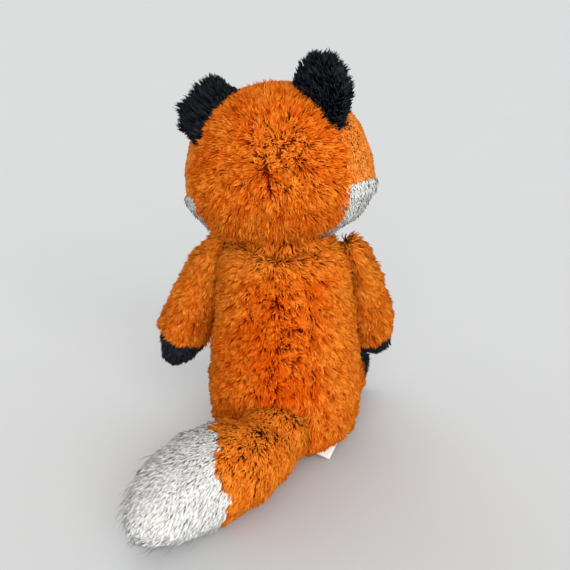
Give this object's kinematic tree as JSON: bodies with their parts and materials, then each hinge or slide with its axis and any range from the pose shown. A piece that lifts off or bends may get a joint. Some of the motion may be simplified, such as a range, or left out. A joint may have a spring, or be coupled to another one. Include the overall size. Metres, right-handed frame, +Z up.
{
  "type": "plush fox",
  "caption": "Seated stuffed fox in long-pile plush, with black ears and paws, white cheeks and a swept tail with a white tip; head, arms, legs, ears and tail flex.",
  "frame": {"origin": "centre of the flat patch that the body sits on, at the level of the table", "axes": "+Z up, the fox looks along -Y, +X is the fox's left"},
  "size_m": [0.2027, 0.3037, 0.3278],
  "materials": {
    "orange_long_pile": "long polyester pile",
    "orange_short_pile": "short polyester pile",
    "white_pile": "polyester pile",
    "black_long_pile": "long polyester pile",
    "fibre_filling": "loose fibre",
    "pouch_canvas": "woven",
    "satin_ribbon": "satin",
    "moulded_black": "gloss",
    "clear_washer": "matt"
  },
  "bodies": {
    "torso": {"torso_back_left": "orange_long_pile", "torso_back_right": "orange_long_pile", "torso_belly": "white_pile", "torso_base": "orange_long_pile", "torso_stuffing": "fibre_filling", "pellet_pouch": "pouch_canvas", "care_label": "satin_ribbon"},
    "neck": {"neck_roll": "orange_short_pile"},
    "head": {"head_back_left": "orange_long_pile", "head_back_right": "orange_long_pile", "head_face": "orange_short_pile", "cheek_left": "white_pile", "cheek_right": "white_pile", "nose_bridge": "orange_short_pile", "muzzle": "white_pile", "head_stuffing": "fibre_filling", "nose": "moulded_black", "nose_washer": "clear_washer", "eye_left": "moulded_black", "eye_left_washer": "clear_washer", "eye_right": "moulded_black", "eye_right_washer": "clear_washer"},
    "ear_left": {"ear_left_cover": "black_long_pile", "ear_left_lining": "white_pile"},
    "ear_right": {"ear_right_cover": "black_long_pile", "ear_right_lining": "white_pile"},
    "arm_left": {"arm_left_cover": "orange_long_pile", "paw_left_cover": "black_long_pile", "arm_left_stuffing": "fibre_filling"},
    "arm_right": {"arm_right_cover": "orange_long_pile", "paw_right_cover": "black_long_pile", "arm_right_stuffing": "fibre_filling"},
    "leg_left": {"leg_left_cover": "orange_long_pile", "foot_left_cover": "black_long_pile", "leg_left_stuffing": "fibre_filling"},
    "leg_right": {"leg_right_cover": "orange_long_pile", "foot_right_cover": "black_long_pile", "leg_right_stuffing": "fibre_filling"},
    "tail": {"tail_cover": "orange_long_pile", "tail_tip": "white_pile", "tail_stuffing": "fibre_filling"}
  },
  "joints": [
    {"name": "head_nod", "type": "hinge", "parent": "torso", "child": "neck", "pos_m": [0, 0, 0.192], "axis": [1, 0, 0], "range_deg": [-15, 15], "stiffness_Nm_per_rad": 2},
    {"name": "head_turn", "type": "hinge", "parent": "neck", "child": "head", "pos_m": [0, 0, 0.192], "axis": [0, 0, 1], "range_deg": [-40, 40], "stiffness_Nm_per_rad": 1},
    {"name": "ear_left_fold", "type": "hinge", "parent": "head", "child": "ear_left", "pos_m": [0.04723, 0.01232, 0.28247], "axis": [0.5401, 0.4773, -0.6931], "range_deg": [-15, 15], "stiffness_Nm_per_rad": 0.05},
    {"name": "ear_right_fold", "type": "hinge", "parent": "head", "child": "ear_right", "pos_m": [-0.02437, 0.0114, 0.29121], "axis": [0.7029, -0.4614, 0.5414], "range_deg": [-15, 15], "stiffness_Nm_per_rad": 0.05},
    {"name": "arm_left_swing", "type": "hinge", "parent": "torso", "child": "arm_left", "pos_m": [0.04738, -0.01273, 0.166], "axis": [0.9034, -0.365, 0.225], "range_deg": [-75, 35], "stiffness_Nm_per_rad": 0.3},
    {"name": "arm_right_swing", "type": "hinge", "parent": "torso", "child": "arm_right", "pos_m": [-0.04738, -0.01273, 0.166], "axis": [0.9034, 0.365, -0.225], "range_deg": [-47, 63], "stiffness_Nm_per_rad": 0.3},
    {"name": "leg_left_swing", "type": "hinge", "parent": "torso", "child": "leg_left", "pos_m": [0.035, -0.038, 0.025], "axis": [1, 0, 0], "range_deg": [-20, 12], "stiffness_Nm_per_rad": 1},
    {"name": "leg_right_swing", "type": "hinge", "parent": "torso", "child": "leg_right", "pos_m": [-0.035, -0.038, 0.025], "axis": [1, 0, 0], "range_deg": [-20, 12], "stiffness_Nm_per_rad": 1},
    {"name": "tail_swing", "type": "hinge", "parent": "torso", "child": "tail", "pos_m": [0, 0.05, 0.038], "axis": [0, 0, 1], "range_deg": [-22, 50], "stiffness_Nm_per_rad": 0.3}
  ]
}
